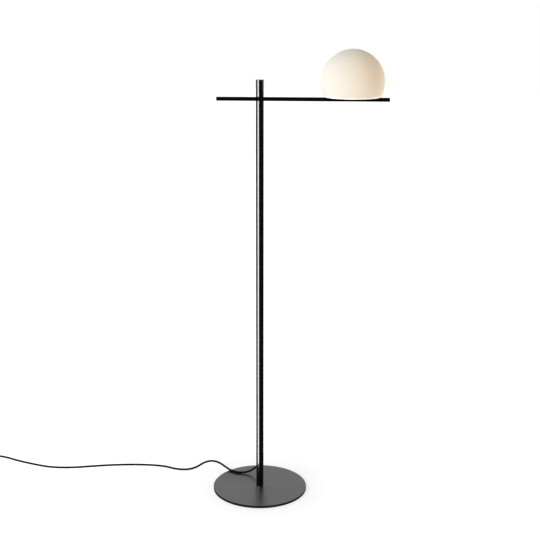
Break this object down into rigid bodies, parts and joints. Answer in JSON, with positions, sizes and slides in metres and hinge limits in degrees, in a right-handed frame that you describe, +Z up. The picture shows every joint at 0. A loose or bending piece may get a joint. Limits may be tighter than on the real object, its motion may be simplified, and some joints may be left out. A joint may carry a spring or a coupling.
{
  "type": "globe floor lamp",
  "caption": "Floor lamp with a round steel foot, slim black post, off-centre square cross arm and a white glass globe on a round plate.",
  "frame": {"origin": "on the floor, on the axis of the post, at the middle of the foot's underside", "axes": "+Z up along the post, +X along the arm towards the globe, the arm lies on the -Y side of the post"},
  "size_m": [1.4775, 0.3918, 1.496],
  "materials": {
    "satin_steel": "satin grey",
    "black_gloss": "gloss black",
    "black_satin": "satin black",
    "zinc_steel": "zinc plated",
    "spring_steel": "rolled",
    "bright_aluminium": "bright",
    "contact_brass": "bright",
    "plated_pins": "nickel plated",
    "white_ceramic": "unglazed",
    "white_plastic": "matte",
    "light_board": "matte",
    "bulb_cover": "frosted",
    "opal_glass": "satin opal",
    "clear_rubber": "clear",
    "soft_pad": "matte",
    "black_rubber": "satin",
    "black_plastic": "fine grain",
    "black_cord": "satin",
    "wire_brown": "satin",
    "wire_blue": "satin",
    "wire_green": "satin"
  },
  "bodies": {
    "lamp": {"base_pad": "soft_pad", "base_plate": "satin_steel", "foot_screw": "zinc_steel", "post_foot_insert": "zinc_steel", "post_tube": "black_gloss", "post_cap": "black_gloss", "arm_seat_block": "zinc_steel", "arm_washer": "zinc_steel", "arm_screw": "zinc_steel", "rear_screw_cover": "black_plastic", "arm_tube": "black_satin", "arm_insert": "zinc_steel", "arm_cap_left": "black_plastic", "arm_cap_right": "black_plastic", "nut_strip": "zinc_steel", "plate_screws": "zinc_steel", "globe_plate": "black_satin", "globe_gasket": "clear_rubber", "globe_springs": "spring_steel", "spring_rivets": "bright_aluminium", "lampholder_bracket": "zinc_steel", "bracket_screws": "zinc_steel", "lampholder": "white_ceramic", "lampholder_contacts": "contact_brass", "lampholder_screws": "zinc_steel", "inner_cable": "black_cord", "wire_live": "wire_brown", "wire_neutral": "wire_blue", "wire_earth": "wire_green", "earth_lug": "plated_pins", "earth_screw": "zinc_steel", "strain_relief": "black_rubber", "mains_cord": "black_cord", "switch_base": "black_plastic", "switch_cover": "black_plastic", "switch_screws": "zinc_steel", "switch_spring": "spring_steel", "switch_mechanism": "white_plastic", "switch_sleeves": "black_rubber", "switch_leads": "black_cord", "coil_lead": "black_cord", "cord_coil": "black_cord", "cord_tie": "black_plastic", "plug_lead": "black_cord", "plug_body": "black_rubber", "plug_pins": "plated_pins", "plug_earth_strips": "plated_pins"},
    "globe": {"glass_globe": "opal_glass"},
    "bulb": {"bulb_base": "white_plastic", "bulb_pins": "plated_pins", "bulb_core": "light_board", "bulb_lens": "bulb_cover"},
    "switch_button": {"switch_button": "black_plastic"}
  },
  "joints": [
    {"name": "globe_lift", "type": "slide", "parent": "lamp", "child": "globe", "axis": [0, 0, 1], "range_m": [0, 0.11]},
    {"name": "bulb_pull", "type": "slide", "parent": "lamp", "child": "bulb", "axis": [0, 0, 1], "range_m": [0, 0.016]},
    {"name": "switch_press", "type": "slide", "parent": "lamp", "child": "switch_button", "axis": [0, 0, -1], "range_m": [0, 0.003], "stiffness_N_per_m": 900, "springref_m": -0.002, "deforming": ["switch_spring"]}
  ]
}
